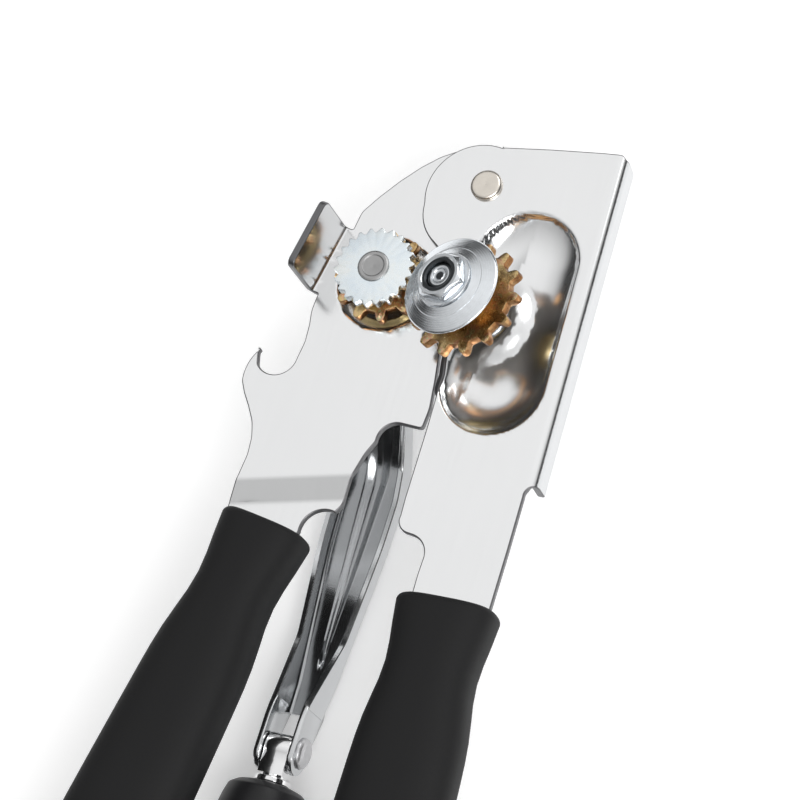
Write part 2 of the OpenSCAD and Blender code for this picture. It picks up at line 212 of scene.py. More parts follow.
def cutter_outline():
    """Cutter lever laid flat, with its flange unfolded to the right."""
    head = ([(51.0, 36.5), (44.9, 37.0), (43.9, 37.8), (39.5, 37.5), (28.2, 36.4), (16.8, 35)]
            + arc((14.6, 23.2), 11.9, 78, 198, 26) + arc((13.8, 19.4), 10.4, 184, 232, 8)
            + [(9.6, 9.6), (12, 8), (16.4, 4.4), (17.6, 0), (17.8, -8), (19, -13), (19.7, -18.1),
               (20.1, -30.7), (20.3, -46.7), (20.5, -50.4)])
    throat = arc((23.4, -50.9), 3, 188, 262, 8) + arc((24, -58.2), 4.2, 84, -4, 12)
    shank = [(28.1, -62), (28.3, -68.3), (29.6, -95), (42.8, -95), (45.6, -67.7), (45.5, -53)]
    flange = arc((47.4, -40.6), 2.2, 192, 92, 10) + [(49, -38.4), (53.2, -38.4)]
    return ccw(softened(head + throat + shank + flange, 0.7))


# ---------------------------------------------------------------- pressed shapes of the two levers

def smooth(t):
    """From 0 to 1 with soft ends."""
    t = min(max(t, 0.0), 1.0)
    return t * t * (3 - 2 * t)


def ramped(t, ease=0.16):
    """From 0 to 1 along a straight slope with eased ends."""
    t = min(max(t, 0.0), 1.0)
    rise = 1 / (1 - ease)
    if t < ease:
        return rise * t * t / (2 * ease)
    if t > 1 - ease:
        return 1 - rise * (1 - t) ** 2 / (2 * ease)
    return rise * (t - ease / 2)


def opener_form(x, y):
    """Point of the opener lever's front face for a point of the flat blank."""
    a = math.radians(TAB_TURN)
    u, v = x * math.cos(a) + y * math.sin(a), -x * math.sin(a) + y * math.cos(a)
    z = 0.0
    s, r = TAB_BEND - u, TAB_RADIUS
    if s > 0 and TAB_SPAN[0] < v < TAB_SPAN[1]:          # tab bent up
        if s < r * math.pi / 2:
            u, z = TAB_BEND - r * math.sin(s / r), r * (1 - math.cos(s / r))
        else:
            u, z = TAB_BEND - r, r + s - r * math.pi / 2
        return Vector((u * math.cos(a) - v * math.sin(a), u * math.sin(a) + v * math.cos(a), z))
    b = math.radians(JOGGLE_TURN)
    along = -x * math.sin(b) + y * math.cos(b)
    z = -STEP_DEPTH * ramped((JOGGLE_START - along) / JOGGLE_RUN)
    r = math.hypot(x, y)
    if r < CUP_RADIUS:
        z = -CUP_DEPTH * smooth((CUP_RADIUS - r) / CUP_WALL)
    return Vector((x, y, z))


def pocket_inside(x, y):
    """Distance inside the pocket's rim."""
    (ax, ay, ar), (bx, by, br) = POCKET_HEAD, POCKET_TAIL
    t = min(max(((x - ax) * (bx - ax) + (y - ay) * (by - ay)) / ((bx - ax) ** 2 + (by - ay) ** 2), 0), 1)
    return ar + (br - ar) * t - math.hypot(x - ax - (bx - ax) * t, y - ay - (by - ay) * t)


def cutter_form(x, y):
    """Point of the cutter lever's front face for a point of the flat blank."""
    z = FRONT_RIGHT
    d = pocket_inside(x, y)
    if d > 0:
        t = math.radians(LINE_TURN)
        along = x * math.cos(t) + y * math.sin(t)
        across = -x * math.sin(t) + y * math.cos(t)
        seat = -1.7 + math.tan(math.radians(LEAN)) * (along - STUD_ALONG)
        away = smooth((math.hypot(along - STUD_ALONG, across) - 5.4) / 6)
        basin = min(seat, FRONT_RIGHT - 2.6) - 0.9 - 0.05 * max(0.0, -across)
        floor = seat * (1 - away) + basin * away
        t = min(d / 10.5, 1.0)
        k = (1 - (1 - t) ** 2.3) * smooth(d / 1.7 + 0.12)
        k = k * away + max(k, smooth(d / 3.6)) * (1 - away)
        z = FRONT_RIGHT + (floor - FRONT_RIGHT) * k
    a = math.radians(FLANGE_TURN)
    px, py = FLANGE_CORNER
    u, v = (x - px) * math.cos(a) + (y - py) * math.sin(a), -(x - px) * math.sin(a) + (y - py) * math.cos(a)
    if u > 0 and y > -50:                 # flange bent back
        r = FLANGE_RADIUS
        if u < r * math.pi / 2:
            u, z = r * math.sin(u / r), FRONT_RIGHT - r * (1 - math.cos(u / r))
        else:
            u, z = r, FRONT_RIGHT - r - (u - r * math.pi / 2)
        return Vector((px + u * math.cos(a) - v * math.sin(a), py + u * math.sin(a) + v * math.cos(a), z))
    return Vector((x, y, z))


# ---------------------------------------------------------------- mesh builders

def add_piece(name, bm, place, body, nodes, finish, sharp=32, normals=None, others=(), zone=None):
    """Turns a mesh drawn in mm into a finished piece in metres that rides on a body.
    zone(centre, normal) says which of the finishes a face gets, the first or one of the others."""
    if zone:
        bm.normal_update()
        for face in bm.faces:
            face.material_index = int(zone(face.calc_center_median(), face.normal))
    mesh = bpy.data.meshes.new(name)
    bm.to_mesh(mesh)
    bm.free()
    mesh.transform(Matrix.Scale(MM, 4))
    mesh.polygons.foreach_set("use_smooth", [True] * len(mesh.polygons))
    if normals:
        mesh.normals_split_custom_set_from_vertices(normals)
    else:
        mesh.set_sharp_from_angle(angle=math.radians(sharp))
    mesh.materials.append(finish)
    for other in others:
        mesh.materials.append(other)
    obj = bpy.data.objects.new(name, mesh)
    bpy.context.scene.collection.objects.link(obj)
    obj.matrix_world = place
    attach(obj, body)
    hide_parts(*nodes)


def turned_rows(bm, profile, steps):
    """Closed ring of a profile of (r, z) about Z."""
    rows = []
    for i in range(steps):
        a = 2 * math.pi * i / steps
        rows.append([bm.verts.new((r * math.cos(a), r * math.sin(a), z)) for r, z in profile])
    n = len(profile)
    for i, row in enumerate(rows):
        after = rows[(i + 1) % steps]
        for k in range(n):
            a, b = row[k], row[(k + 1) % n]
            if profile[k][0] < 1e-6 and profile[(k + 1) % n][0] < 1e-6:
                continue
            bm.faces.new((a, after[k], after[(k + 1) % n], b))


def clean(bm):
    """Joins points that coincide and turns every face outward."""
    bmesh.ops.remove_doubles(bm, verts=bm.verts, dist=1e-4)
    bmesh.ops.dissolve_degenerate(bm, dist=1e-5, edges=bm.edges)
    bmesh.ops.recalc_face_normals(bm, faces=bm.faces)


def lathe(profile, edge=0.15, steps=96):
    """Turned solid of a profile of (r, z), with every corner rounded a little."""
    bm = bmesh.new()
    turned_rows(bm, [(max(r, 0.0), z) for r, z in softened(profile, edge, 3)], steps)
    clean(bm)
    return bm


def joined(*parts):
    """One mesh from several."""
    whole = bmesh.new()
    for part in parts:
        mesh = bpy.data.meshes.new("part")
        part.to_mesh(mesh)
        part.free()
        whole.from_mesh(mesh)
        bpy.data.meshes.remove(mesh)
    return whole


def moved(bm, matrix):
    """The same mesh, put elsewhere."""
    bmesh.ops.transform(bm, matrix=matrix, verts=bm.verts)
    return bm


def cap(bm, loops, up):
    """Flat face between closed loops of vertices."""
    edges = []
    for loop in loops:
        for i, v in enumerate(loop):
            pair = (loop[i - 1], v)
            edges.append(bm.edges.get(pair) or bm.edges.new(pair))
    bmesh.ops.triangle_fill(bm, use_beauty=True, use_dissolve=False, edges=edges, normal=(0, 0, up))


def prism(outline, z1, z2, edge=0.15, hole=None, steps=48):
    """Flat blank with rounded edges and a round hole."""
    bm = bmesh.new()
    points = ccw(outline)
    out = outward(points)
    rings = []
    for inset, z in ((edge, z1), (edge * 0.3, z1 + edge * 0.3), (0, z1 + edge),
                     (0, z2 - edge), (edge * 0.3, z2 - edge * 0.3), (edge, z2)):
        rings.append([bm.verts.new((p[0] - m.x * inset, p[1] - m.y * inset, z)) for p, m in zip(points, out)])
    for low, high in zip(rings, rings[1:]):
        for i in range(len(points)):
            bm.faces.new((low[i - 1], low[i], high[i], high[i - 1]))
    bores = []
    if hole:
        for grow, z in ((edge, z1), (0, z1 + edge), (0, z2 - edge), (edge, z2)):
            bores.append([bm.verts.new(((hole + grow) * math.cos(2 * math.pi * i / steps),
                                        (hole + grow) * math.sin(2 * math.pi * i / steps), z))
                          for i in range(steps)])
        for low, high in zip(bores, bores[1:]):
            for i in range(steps):
                bm.faces.new((low[i], low[i - 1], high[i - 1], high[i]))
    cap(bm, [rings[0]] + bores[:1], -1)
    cap(bm, [rings[-1]] + bores[-1:], 1)
    clean(bm)
    return bm


def loft(rows):
    """Skin over rows of points, each row a closed ring with the same count, closed at both ends."""
    bm = bmesh.new()
    made = [[bm.verts.new(p) for p in row] for row in rows]
    for low, high in zip(made, made[1:]):
        for i in range(len(low)):
            bm.faces.new((low[i - 1], low[i], high[i], high[i - 1]))
    bm.faces.new(list(reversed(made[0])))
    bm.faces.new(made[-1])
    bmesh.ops.remove_doubles(bm, verts=bm.verts, dist=1e-5)
    bmesh.ops.recalc_face_normals(bm, faces=bm.faces)
    return bm


def within(points, outline):
    """Whether points lie inside an outline, and how far they are from its edge."""
    inside = np.zeros(len(points), bool)
    near = np.full(len(points), 1e9)
    x, y = points[:, 0], points[:, 1]
    for (ax, ay), (bx, by) in zip(outline, np.roll(outline, -1, axis=0)):
        if ay != by:
            inside ^= ((ay > y) != (by > y)) & (x < (bx - ax) * (y - ay) / (by - ay) + ax)
        dx, dy = bx - ax, by - ay
        t = np.clip(((x - ax) * dx + (y - ay) * dy) / max(dx * dx + dy * dy, 1e-12), 0, 1)
        near = np.minimum(near, np.hypot(x - ax - dx * t, y - ay - dy * t))
    return inside, near


def pressed_sheet(outline, form, nets):
    """Sheet metal blank, netted with fine triangles, pressed to its form and given its thickness and rounded edges.
    Returns the mesh and the true direction of its surface at each vertex."""
    corners = ccw(outline)
    points = []
    for i, p in enumerate(corners):
        a, b = Vector(p), Vector(corners[(i + 1) % len(corners)])
        count = max(1, math.ceil((b - a).length / OUTLINE_STEP))
        points += [tuple(a + (b - a) * k / count) for k in range(count)]
    out = outward(points)
    inset = np.array([(p[0] - m.x * EDGE, p[1] - m.y * EDGE) for p, m in zip(points, out)])
    inner = np.array([p for angle, us, vs in nets for p in turned([(u, v) for u in us for v in vs], angle)])
    inside, near = within(inner, inset)
    inner = inner[inside & (near > 0.3)]
    kept = {(round(x / 0.25), round(y / 0.25)): (x, y) for x, y in inner}
    n = len(inset)
    flat = [Vector(p) for p in inset] + [Vector(p) for p in kept.values()]
    made, _, faces, origin, _, _ = delaunay_2d_cdt(flat, [], [list(range(n))], 1, 1e-6, True)
    middles = np.array([sum((made[i] for i in f), Vector((0, 0))) / len(f) for f in faces])
    faces = [f for f, kept_in in zip(faces, within(middles, inset)[0]) if kept_in]
    place = {}
    for index, olds in enumerate(origin):
        for old in olds:
            place[old] = index
    flat = [Vector(p) for p in made]
    faces = [f if area([flat[i] for i in f]) > 0 else f[::-1] for f in faces]
    ring_of = [place[i] for i in range(n)]

    def surface(p):
        h = 0.02
        here = form(p.x, p.y)
        across = form(p.x + h, p.y) - form(p.x - h, p.y)
        along = form(p.x, p.y + h) - form(p.x, p.y - h)
        return here, across.cross(along).normalized(), across / (2 * h), along / (2 * h)

    solid = bmesh.new()
    places = [surface(p) for p in flat]
    front = [solid.verts.new(p[0]) for p in places]
    back = [solid.verts.new(p[0] - p[1] * SHEET) for p in places]
    normals = [p[1] for p in places] + [-p[1] for p in places]
    for f in faces:
        shown = solid.faces.new([front[i] for i in f])
        middle = shown.calc_center_median()
        # Front faces on the bent-back flange take the third finish, a darker copy of the sheet: painted shade.
        shown.material_index = 2 if middle.x > FLANGE_SIDE and middle.z < FLANGE_TOP else 0
        solid.faces.new([back[i] for i in reversed(f)])
    ring = []
    for i, v in enumerate(ring_of):
        here, up, dx, dy = places[v]
        side = dx * out[i].x + dy * out[i].y
        flat_side = side.normalized()
        row = [front[v]]
        for angle, face in ((45, 1), (90, 1), (90, -1), (45, -1)):
            t = math.radians(angle)
            fall = EDGE * (1 - math.cos(t))
            row.append(solid.verts.new(here + side * EDGE * math.sin(t) - up * (fall if face > 0 else SHEET - fall)))
            normals.append(flat_side * math.sin(t) + up * math.cos(t) * face)
        row.append(back[v])
        ring.append(row)
    # The rounded edge faces take the second finish, near-black: painted shade for the dark rim along the sheet's
    # edges.
    for i, row in enumerate(ring):
        after = ring[(i + 1) % n]
        for k in range(5):
            painted_dark_edge_face = solid.faces.new((row[k], row[k + 1], after[k + 1], after[k]))
            painted_dark_edge_face.material_index = 1
    return solid, normals


def spread(start, end, step):
    """Even steps from start to end, about as long as asked."""
    count = max(1, round(abs(end - start) / abs(step)))
    return [start + (end - start) * i / count for i in range(count + 1)]


# ---------------------------------------------------------------- materials

class Shade:
    """A value on its way through a material."""

    def __init__(self, finish, socket):
        self.finish, self.socket = finish, socket

    def maths(self, operation, *values):
        return self.finish.node("ShaderNodeMath", {"operation": operation}, list(values))

    def __add__(self, other):
        return self.maths("ADD", self, other)

    def __radd__(self, other):
        return self.maths("ADD", other, self)

    def __sub__(self, other):
        return self.maths("SUBTRACT", self, other)

    def __rsub__(self, other):
        return self.maths("SUBTRACT", other, self)

    def __mul__(self, other):
        return self.maths("MULTIPLY", self, other)

    def __rmul__(self, other):
        return self.maths("MULTIPLY", other, self)

    def __pow__(self, other):
        return self.maths("POWER", self, other)

    def clipped(self, low=0.0, high=1.0):
        return self.maths("MINIMUM", self.maths("MAXIMUM", self, low), high)


class Finish:
    """A material and the nodes that make it."""

    def __init__(self, name, **constants):
        self.material = bpy.data.materials.new(name)
        self.material.use_nodes = True
        self.tree = self.material.node_tree
        self.shader = self.tree.nodes["Principled BSDF"]
        for key, value in constants.items():
            self.shader.inputs[key.replace("_", " ").title().replace("Ior", "IOR")].default_value = value
        self.place = Shade(self, self.tree.nodes.new("ShaderNodeTexCoord").outputs["Object"])

    def node(self, kind, settings, sockets):
        """A node: its settings first, then values or links for its sockets."""
        made = self.tree.nodes.new(kind)
        for key, value in settings.items():
            if key == "stops":
                ramp = made.color_ramp
                while len(ramp.elements) < len(value):
                    ramp.elements.new(0.5)
                for element, (at, colour) in zip(ramp.elements, value):
                    element.position, element.color = at, (*colour, 1)
            else:
                setattr(made, key, value)
        pairs = enumerate(sockets) if isinstance(sockets, list) else sockets.items()
        for key, value in pairs:
            if isinstance(value, Shade):
                self.tree.links.new(value.socket, made.inputs[key])
            else:
                made.inputs[key].default_value = value
        return Shade(self, made.outputs[0])

    def scaled(self, x, y, z):
        """The piece's own coordinates, stretched."""
        return self.node("ShaderNodeMapping", {}, {"Vector": self.place, "Scale": (x, y, z)})

    def noise(self, scale, detail, roughness=0.55, stretch=None):
        vector = self.scaled(*stretch) if stretch else self.place
        return self.node("ShaderNodeTexNoise", {}, {"Vector": vector, "Scale": scale, "Detail": detail,
                                                    "Roughness": roughness})

    def radius(self):
        """Distance from the piece's own axis, in mm."""
        xyz = self.tree.nodes.new("ShaderNodeSeparateXYZ")
        self.tree.links.new(self.place.socket, xyz.inputs[0])
        x, y = Shade(self, xyz.outputs[0]), Shade(self, xyz.outputs[1])
        return (x * x + y * y) ** 0.5 * 1000

    def mix(self, factor, a, b):
        """A colour between a and b."""
        made = self.tree.nodes.new("ShaderNodeMix")
        made.data_type = "RGBA"
        for index, value in ((0, factor), (6, a), (7, b)):
            if isinstance(value, Shade):
                self.tree.links.new(value.socket, made.inputs[index])
            else:
                made.inputs[index].default_value = value if index == 0 else (*value, 1)
        return Shade(self, made.outputs[2])

    def ramp(self, value, stops):
        return self.node("ShaderNodeValToRGB", {"stops": stops}, [value])

    def set(self, **links):
        """Links values to the shader's sockets."""
        for key, value in links.items():
            self.tree.links.new(value.socket, self.shader.inputs[key.replace("_", " ").title()])

    def bump(self, height, depth, strength):
        """Fine relief, its depth in mm."""
        made = self.node("ShaderNodeBump", {}, {"Height": height, "Distance": depth * MM, "Strength": strength})
        self.tree.links.new(made.socket, self.shader.inputs["Normal"])


def bright_sheet(name, colour, rough, streak):
    """Nickel plated sheet: faint rolling streaks, clouded gloss, a few fine scuffs."""
    f = Finish(name, metallic=1.0)
    cloud = f.noise(60, 3)
    roll = f.noise(900, 4, 0.6, stretch=(1.0, 0.05, 0.3))
    scuff = f.noise(2600, 2, 0.5, stretch=(0.12, 1.0, 1.0))
    tone = (cloud * 0.5 + roll * 0.5).clipped()
    f.set(base_color=f.mix(tone, tuple(c * 0.95 for c in colour), tuple(min(1, c * 1.04) for c in colour)),
          roughness=(rough + (cloud - 0.5) * 0.06 + (scuff - 0.5) * 0.05).clipped(0.03, 0.9))
    f.bump(roll * 0.6 + scuff * 0.4, 0.02 * streak, 0.35)
    return f.material


def turned_finish(name, colour, rough, pitch, depth, anisotropic=0.6):
    """Turned steel: fine rings about the piece's own axis."""
    f = Finish(name, metallic=1.0, anisotropic=anisotropic)
    r = f.radius()
    rings = r.maths("SINE", r * (2 * math.pi / pitch))
    jitter = f.noise(900, 3)
    f.set(base_color=f.mix(jitter, tuple(c * 0.9 for c in colour), tuple(min(1, c * 1.06) for c in colour)),
          roughness=(rough + rings * 0.03 + (jitter - 0.5) * 0.08).clipped(0.05, 0.9))
    f.bump(rings * 0.5 + jitter * 0.6, depth, 0.5)
    return f.material


def plated(name, stops, rough, scale, bump):
    """Zinc plating with drifting colour."""
    f = Finish(name, metallic=1.0)
    drift = f.noise(scale, 3, 0.6)
    fine = f.noise(scale * 9, 3, 0.6)
    hue = ((drift - 0.5) * 2.1 + (fine - 0.5) * 0.7 + 0.5).clipped()
    f.set(base_color=f.ramp(hue, stops), roughness=(rough + (fine - 0.5) * 0.2).clipped(0.08, 0.9))
    f.bump(fine + f.noise(scale * 30, 2), bump, 0.5)
    return f.material


def moulded(name, colour, rough, grain, depth):
    """Black rubber or plastic with a fine moulded grain and faint handling marks."""
    f = Finish(name, specular_ior_level=0.3)
    skin = f.noise(grain, 3, 0.6)
    cloud = f.noise(45, 3)
    f.set(base_color=f.mix(cloud, tuple(c * 0.85 for c in colour), tuple(c * 1.2 for c in colour)),
          roughness=(rough + (cloud - 0.5) * 0.14 + (skin - 0.5) * 0.08).clipped(0.2, 1))
    f.bump(skin, depth, 0.6)
    return f.material


sheet_finish = bright_sheet("bright_nickel_sheet", (0.86, 0.865, 0.87), 0.17, 1.0)
channel_finish = bright_sheet("bright_channel", (0.66, 0.67, 0.68), 0.15, 2.4)
# Near-black copy of the sheet for the levers' rounded edges: painted shade for the dark rim they show.
edge_painted_shade = bright_sheet("edge_painted_dark", (0.17, 0.17, 0.175), 0.34, 4.0)
# Near-black ring on the nut's top round its bore, and on the stud end's chamfer and centre.
dark_ring = turned_finish("near_black_bore_ring", (0.07, 0.075, 0.08), 0.35, 0.3, 0.02, 0.3)
# Darker copy of the sheet for the flange's front: painted shade standing in for the darker reflection of its bent
# face.
flange_painted_shade = bright_sheet("bent_flange_painted_shade", (0.66, 0.67, 0.68), 0.24, 6.0)
# Darker copy of the yellow plating for the tooth flanks: painted shade by facing.
flank_painted_shade = plated("zinc_flank_painted_shade", [(0.0, (0.12, 0.06, 0.03)), (0.5, (0.42, 0.20, 0.08)),
                                          (1.0, (0.66, 0.42, 0.20))], 0.3, 400, 0.014)
# Darker copy of the crank's finish for the channel's inner faces: painted shade for the dark reflections inside it.
shaded_channel_interior = bright_sheet("shaded_channel_interior", (0.40, 0.41, 0.42), 0.17, 3.0)
# Near-black finish for the gears' backs: painted shade, so that they show dark where the cup reflects them.
gear_back_painted_shade = bright_sheet("gear_back_painted_dark", (0.16, 0.15, 0.14), 0.5, 1.0)
rod_finish = bright_sheet("bright_rod", (0.86, 0.86, 0.865), 0.12, 0.6)
rivet_finish = turned_finish("warm_nickel", (0.76, 0.71, 0.64), 0.3, 0.35, 0.008, 0.2)
satin_finish = turned_finish("satin_rivet", (0.62, 0.62, 0.63), 0.38, 0.4, 0.01, 0.2)
shaft_finish = turned_finish("turned_shaft_end", (0.42, 0.42, 0.42), 0.42, 0.3, 0.02, 0.3)
wheel_finish = turned_finish("turned_cutter", (0.80, 0.83, 0.86), 0.2, 0.45, 0.012, 0.75)
washer_finish = turned_finish("zinc_washer", (0.76, 0.79, 0.82), 0.24, 0.5, 0.01, 0.5)
nut_finish = plated("zinc_nut", [(0.0, (0.62, 0.66, 0.70)), (0.5, (0.76, 0.79, 0.82)), (1.0, (0.85, 0.87, 0.88))],
                    0.2, 160, 0.008)
blue_zinc = plated("blue_zinc", [(0.0, (0.76, 0.84, 0.90)), (0.45, (0.84, 0.90, 0.93)), (0.8, (0.89, 0.92, 0.91)),
                                 (1.0, (0.88, 0.87, 0.88))], 0.27, 130, 0.012)
yellow_zinc = plated("yellow_zinc", [(0.0, (0.20, 0.13, 0.06)), (0.3, (0.50, 0.33, 0.15)), (0.5, (0.72, 0.55, 0.27)),
                                     (0.68, (0.70, 0.36, 0.24)), (0.84, (0.45, 0.50, 0.27)),
                                     (1.0, (0.85, 0.72, 0.45))], 0.24, 260, 0.014)
brass_finish = turned_finish("bearing_brass", (0.74, 0.57, 0.28), 0.3, 0.4, 0.01, 0.3)
rubber_finish = moulded("soft_rubber", (0.007, 0.007, 0.0075), 0.66, 1500, 0.02)
plastic_finish = moulded("crank_plastic", (0.010, 0.010, 0.011), 0.42, 1900, 0.012)


# ---------------------------------------------------------------- levers

# Each net gives its turn, then its lines across and along: fine where the sheet bends, wide elsewhere.
wide = spread(-96, 40, 3)
opener_nets = [(TAB_TURN, [-14.2, -14.36, -14.52, -14.68, -14.84, -15.0, -15.14], spread(*TAB_SPAN, 0.8)),
               (TAB_TURN, [-17, -20, -23, -26], spread(-7, 8, 2)),
               (JOGGLE_TURN, spread(-40, 40, 0.9), spread(-49.6, -43.0, 0.45)),
               (0, spread(-12, 12, 0.6), spread(-12, 12, 0.6)), (0, spread(-30, 30, 2.4), wide)]
bm, directions = pressed_sheet(opener_outline(), opener_form, opener_nets)
add_piece("opener_lever_sheet", bm, DRIVE, "opener_lever", ["bottle_opener_plate"], sheet_finish,
          normals=directions, others=[edge_painted_shade, flange_painted_shade])

flange_angle = math.radians(FLANGE_TURN)
flange_start = FLANGE_CORNER[0] * math.cos(flange_angle) + FLANGE_CORNER[1] * math.sin(flange_angle)
cutter_nets = [(FLANGE_TURN, [flange_start + 0.35 * k for k in range(-1, 12)], spread(-80, 36, 0.8)),
               (FLANGE_TURN, [flange_start + 5.2, flange_start + 6.6], spread(-80, 36, 2)),
               (0, spread(17.2, 43.4, 0.65), spread(-30.8, 22.6, 0.65)), (0, spread(4, 46, 2.4), wide)]
bm, directions = pressed_sheet(cutter_outline(), cutter_form, cutter_nets)
add_piece("cutter_lever_sheet", bm, DRIVE, "cutter_lever", ["cutter_plate"], sheet_finish,
          normals=directions, others=[edge_painted_shade, flange_painted_shade])


# ---------------------------------------------------------------- grips

TAIL_TAPER = 0.75            # how much each side of a grip draws in towards its tail


def grip_section(half_width, half_thick, y, power, count=72):
    """Ring of a rubber grip: a rounded rectangle across the handle."""
    ring = []
    for i in range(count):
        a = 2 * math.pi * i / count
        c, s = math.cos(a), math.sin(a)
        ring.append((half_width * math.copysign(abs(c) ** (2 / power), c), y,
                     half_thick * math.copysign(abs(s) ** (2 / power), s)))
    return ring


def handle_grip(name, length, mouth, widest, waist, place, node):
    """Soft rubber grip pulled over a handle, its mouth at zero and its tail along -Y."""
    half, thick, lip = mouth / 2, 7.5, RUBBER_LIP
    rows = [grip_section(6.7, 0.86, -3.5, 6), grip_section(6.7, 0.86, -0.5, 6), grip_section(6.95, 1.15, -0.05, 5)]
    for t in (0, 18, 36, 54, 72, 90):
        s = math.radians(t)
        rows.append(grip_section(half - 0.4 - lip * (1 - math.sin(s)), thick - 0.55 - lip * (1 - math.sin(s)),
                                 -lip * (1 - math.cos(s)), 3.0))
    for k in range(1, 25):
        t = k / 24
        y = -2.4 - (length - 12) * t
        swell = smooth(t * 1.15)
        w = half + (widest / 2 - half) * swell
        w -= waist * math.exp(-((t - 0.13) / 0.095) ** 2) + TAIL_TAPER * smooth((t - 0.6) / 0.4)
        belly = 0.25 * math.sin(math.pi * t)
        rows.append(grip_section(w - 0.25 * (1 - belly), thick - 0.12 + 0.05 * belly, y, 2.85))
    for k in range(1, 12):
        s = math.radians(90 * k / 12)
        w = (widest / 2 - 0.25 - TAIL_TAPER) * (0.42 + 0.58 * math.cos(s)) if k < 11 else 3.6
        rows.append(grip_section(w, (thick - 0.12) * math.cos(s) + 0.02, -(length - 9.6) - 9.5 * math.sin(s), 2.7))
    bm = loft(rows)
    add_piece(name, bm, place, "opener_lever" if "left" in node else "cutter_lever", [node],
              rubber_finish, sharp=50)


MOUTH_RISE = 2.2             # the grips' lips reach this much further up the handles


def grip_place(x, y, z, turn):
    """Place of a grip's mouth on the handle, in mm from the shaft, and the handle's turn in degrees."""
    return (DRIVE @ Matrix.Translation(Vector((x, y, z)) * MM) @ Matrix.Rotation(math.radians(turn), 4, "Z")
            @ Matrix.Translation((0, MOUTH_RISE * MM, 0)))


handle_grip("left_rubber_grip", 117 + MOUTH_RISE, 21, 26.5, 1.9,
            grip_place(-9.6, -59.4, -STEP_DEPTH - SHEET / 2, -9), "left_grip")
handle_grip("right_rubber_grip", 108 + MOUTH_RISE, 22.5, 26, 1.7,
            grip_place(36.8, -68.6, FRONT_RIGHT - SHEET / 2, 2), "right_grip")


# ---------------------------------------------------------------- pivot, shaft and bearings

add_piece("pivot_rivet_turned",
          lathe([(0, -3.35), (2.6, -3.35), (3.7, -3.0), (3.9, -2.4), (2.48, -2.4), (2.48, 1.75), (3.5, 1.75),
                 (3.5, 2.35), (3.1, 2.75), (2.7, 2.85), (0, 2.85)], 0.2),
          PIVOT, "opener_lever", ["pivot_rivet"], rivet_finish)
add_piece("pivot_washer_turned", lathe([(2.55, -2.4), (5, -2.4), (5, -1.6), (2.55, -1.6)], 0.12),
          PIVOT, "opener_lever", ["pivot_washer"], washer_finish)
add_piece("shaft_bushing_turned",
          lathe([(3.05, -4.2), (4.05, -4.2), (4.05, -2.6), (5.2, -2.6), (5.2, -1.2), (3.05, -1.2)], 0.12),
          DRIVE, "opener_lever", ["shaft_bushing"], brass_finish)
add_piece("drive_shaft_turned",
          lathe([(0, -8.2), (2.6, -8.2), (3, -7.8), (3, 8.8), (3.5, 8.8), (3.5, 9.1), (3.1, 9.3), (2.55, 9.3),
                 (2.4, 9.12), (2.2, 9.08), (0, 9.08)], 0.1),
          DRIVE, "drive", ["drive_shaft"], shaft_finish)
add_piece("thrust_washer_turned", lathe([(3.05, -5.4), (6.5, -5.4), (6.5, -4.5), (3.05, -4.5)], 0.12),
          DRIVE, "drive", ["thrust_washer"], washer_finish)
add_piece("feed_spacer_turned", lathe([(3.05, 3.6), (4.6, 3.6), (4.6, 6.4), (3.05, 6.4)], 0.12),
          DRIVE, "drive", ["feed_spacer"], washer_finish)


def saw_outline(teeth, radius, depth):
    """Feed wheel's teeth: a steep face and a sloping back."""
    h = 2 * math.pi / teeth
    return [(r * math.cos((i + t) * h), r * math.sin((i + t) * h)) for i in range(teeth)
            for r, t in ((radius - depth, -0.5), (radius - 0.04, -0.26), (radius, -0.18), (radius - 0.02, -0.08),
                         (radius - depth * 0.55, 0.12), (radius - depth, 0.32))]


def gear_outline(teeth, pitch, phase):
    """Slim rounded gear teeth."""
    h = 2 * math.pi / teeth
    root, tip = pitch - 1.5, pitch + 0.82
    tooth = [(root, -0.3), (root + 0.35, -0.235), (pitch - 0.4, -0.2), (pitch + 0.3, -0.15), (tip - 0.2, -0.105),
             (tip, -0.06), (tip, 0.06), (tip - 0.2, 0.105), (pitch + 0.3, 0.15), (pitch - 0.4, 0.2),
             (root + 0.35, 0.235), (root, 0.3)]
    return [(r * math.cos((i + phase + t) * h), r * math.sin((i + phase + t) * h)) for i in range(teeth)
            for r, t in tooth]


def gear_shade_zone(centre, normal):
    """Painted shade by facing: a near-black back and darker tooth flanks; the front keeps the bright plating."""
    if normal.z < -0.7:
        return 1
    return 2 if abs(normal.z) < 0.3 and math.hypot(centre.x, centre.y) > 7 else 0


add_piece("feed_wheel_toothed", prism(saw_outline(22, 9, 1.0), 6.4, 8.8, 0.16, 3.0), DRIVE, "drive",
          ["feed_wheel"], blue_zinc)
small_gear = moved(prism(gear_outline(11, 9.68, 0), 1.4, 3.6, 0.14, 3.0),
                   Matrix.Rotation(math.radians(LINE_TURN), 4, "Z"))
add_piece("drive_gear_toothed",
          joined(small_gear, lathe([(SHAFT_BORE, -1), (4.6, -1), (4.6, 1.5), (SHAFT_BORE, 1.5)], 0.12)),
          DRIVE, "drive", ["drive_gear"], yellow_zinc, others=[gear_back_painted_shade, flank_painted_shade],
          zone=gear_shade_zone)


# ---------------------------------------------------------------- cutter on its leaning stud

